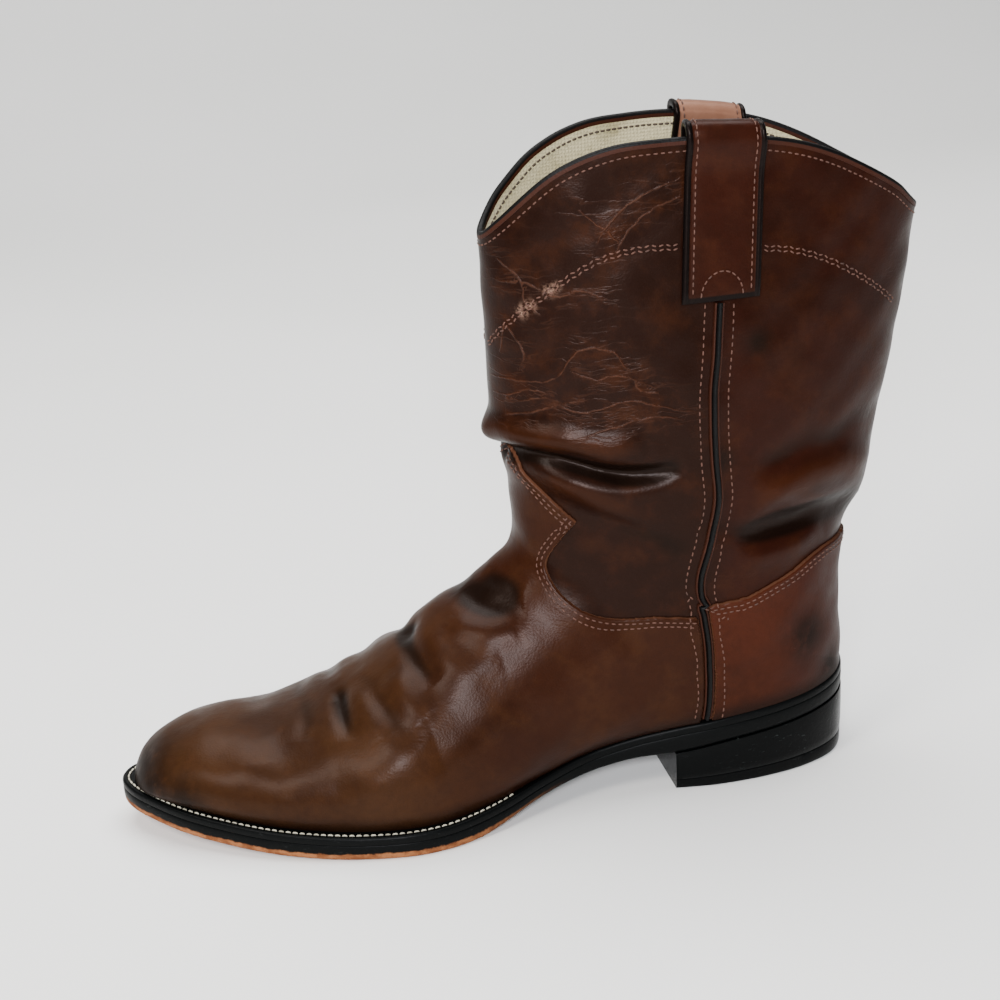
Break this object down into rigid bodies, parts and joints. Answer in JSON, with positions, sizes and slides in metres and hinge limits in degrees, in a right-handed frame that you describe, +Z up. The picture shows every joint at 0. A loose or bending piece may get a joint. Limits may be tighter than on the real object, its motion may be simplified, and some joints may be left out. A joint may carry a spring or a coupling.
{
  "type": "roper boot",
  "caption": "Left leather pull-on roper boot with round toe, low heel, scalloped collar, side piping and two pull straps.",
  "frame": {"origin": "middle of the heel's floor face", "axes": "+X towards the toe, +Y towards the outer side of the foot, +Z up from the floor"},
  "size_m": [0.3329, 0.1043, 0.2713],
  "materials": {
    "upper": "dark brown oiled leather, satin",
    "vamp": "brown oiled leather, worn at the toe",
    "counter": "red-brown leather, rubbed",
    "piping": "black leather cord, half gloss",
    "strap": "brown leather with black edges",
    "binding": "near-black leather bead",
    "insole": "pale sock lining, matte",
    "welt": "black edge ink, satin",
    "outsole": "leather sole, black edge with a worn tan line",
    "heel": "black edge ink over stacked leather"
  },
  "bodies": {
    "root": {"upper": "upper", "vamp": "vamp", "counter": "counter", "side_piping_lateral": "piping", "side_piping_medial": "piping", "pull_strap_lateral": "strap", "pull_strap_medial": "strap", "collar_binding": "binding", "insole": "insole", "welt": "welt", "outsole": "outsole", "heel": "heel"}
  },
  "joints": []
}
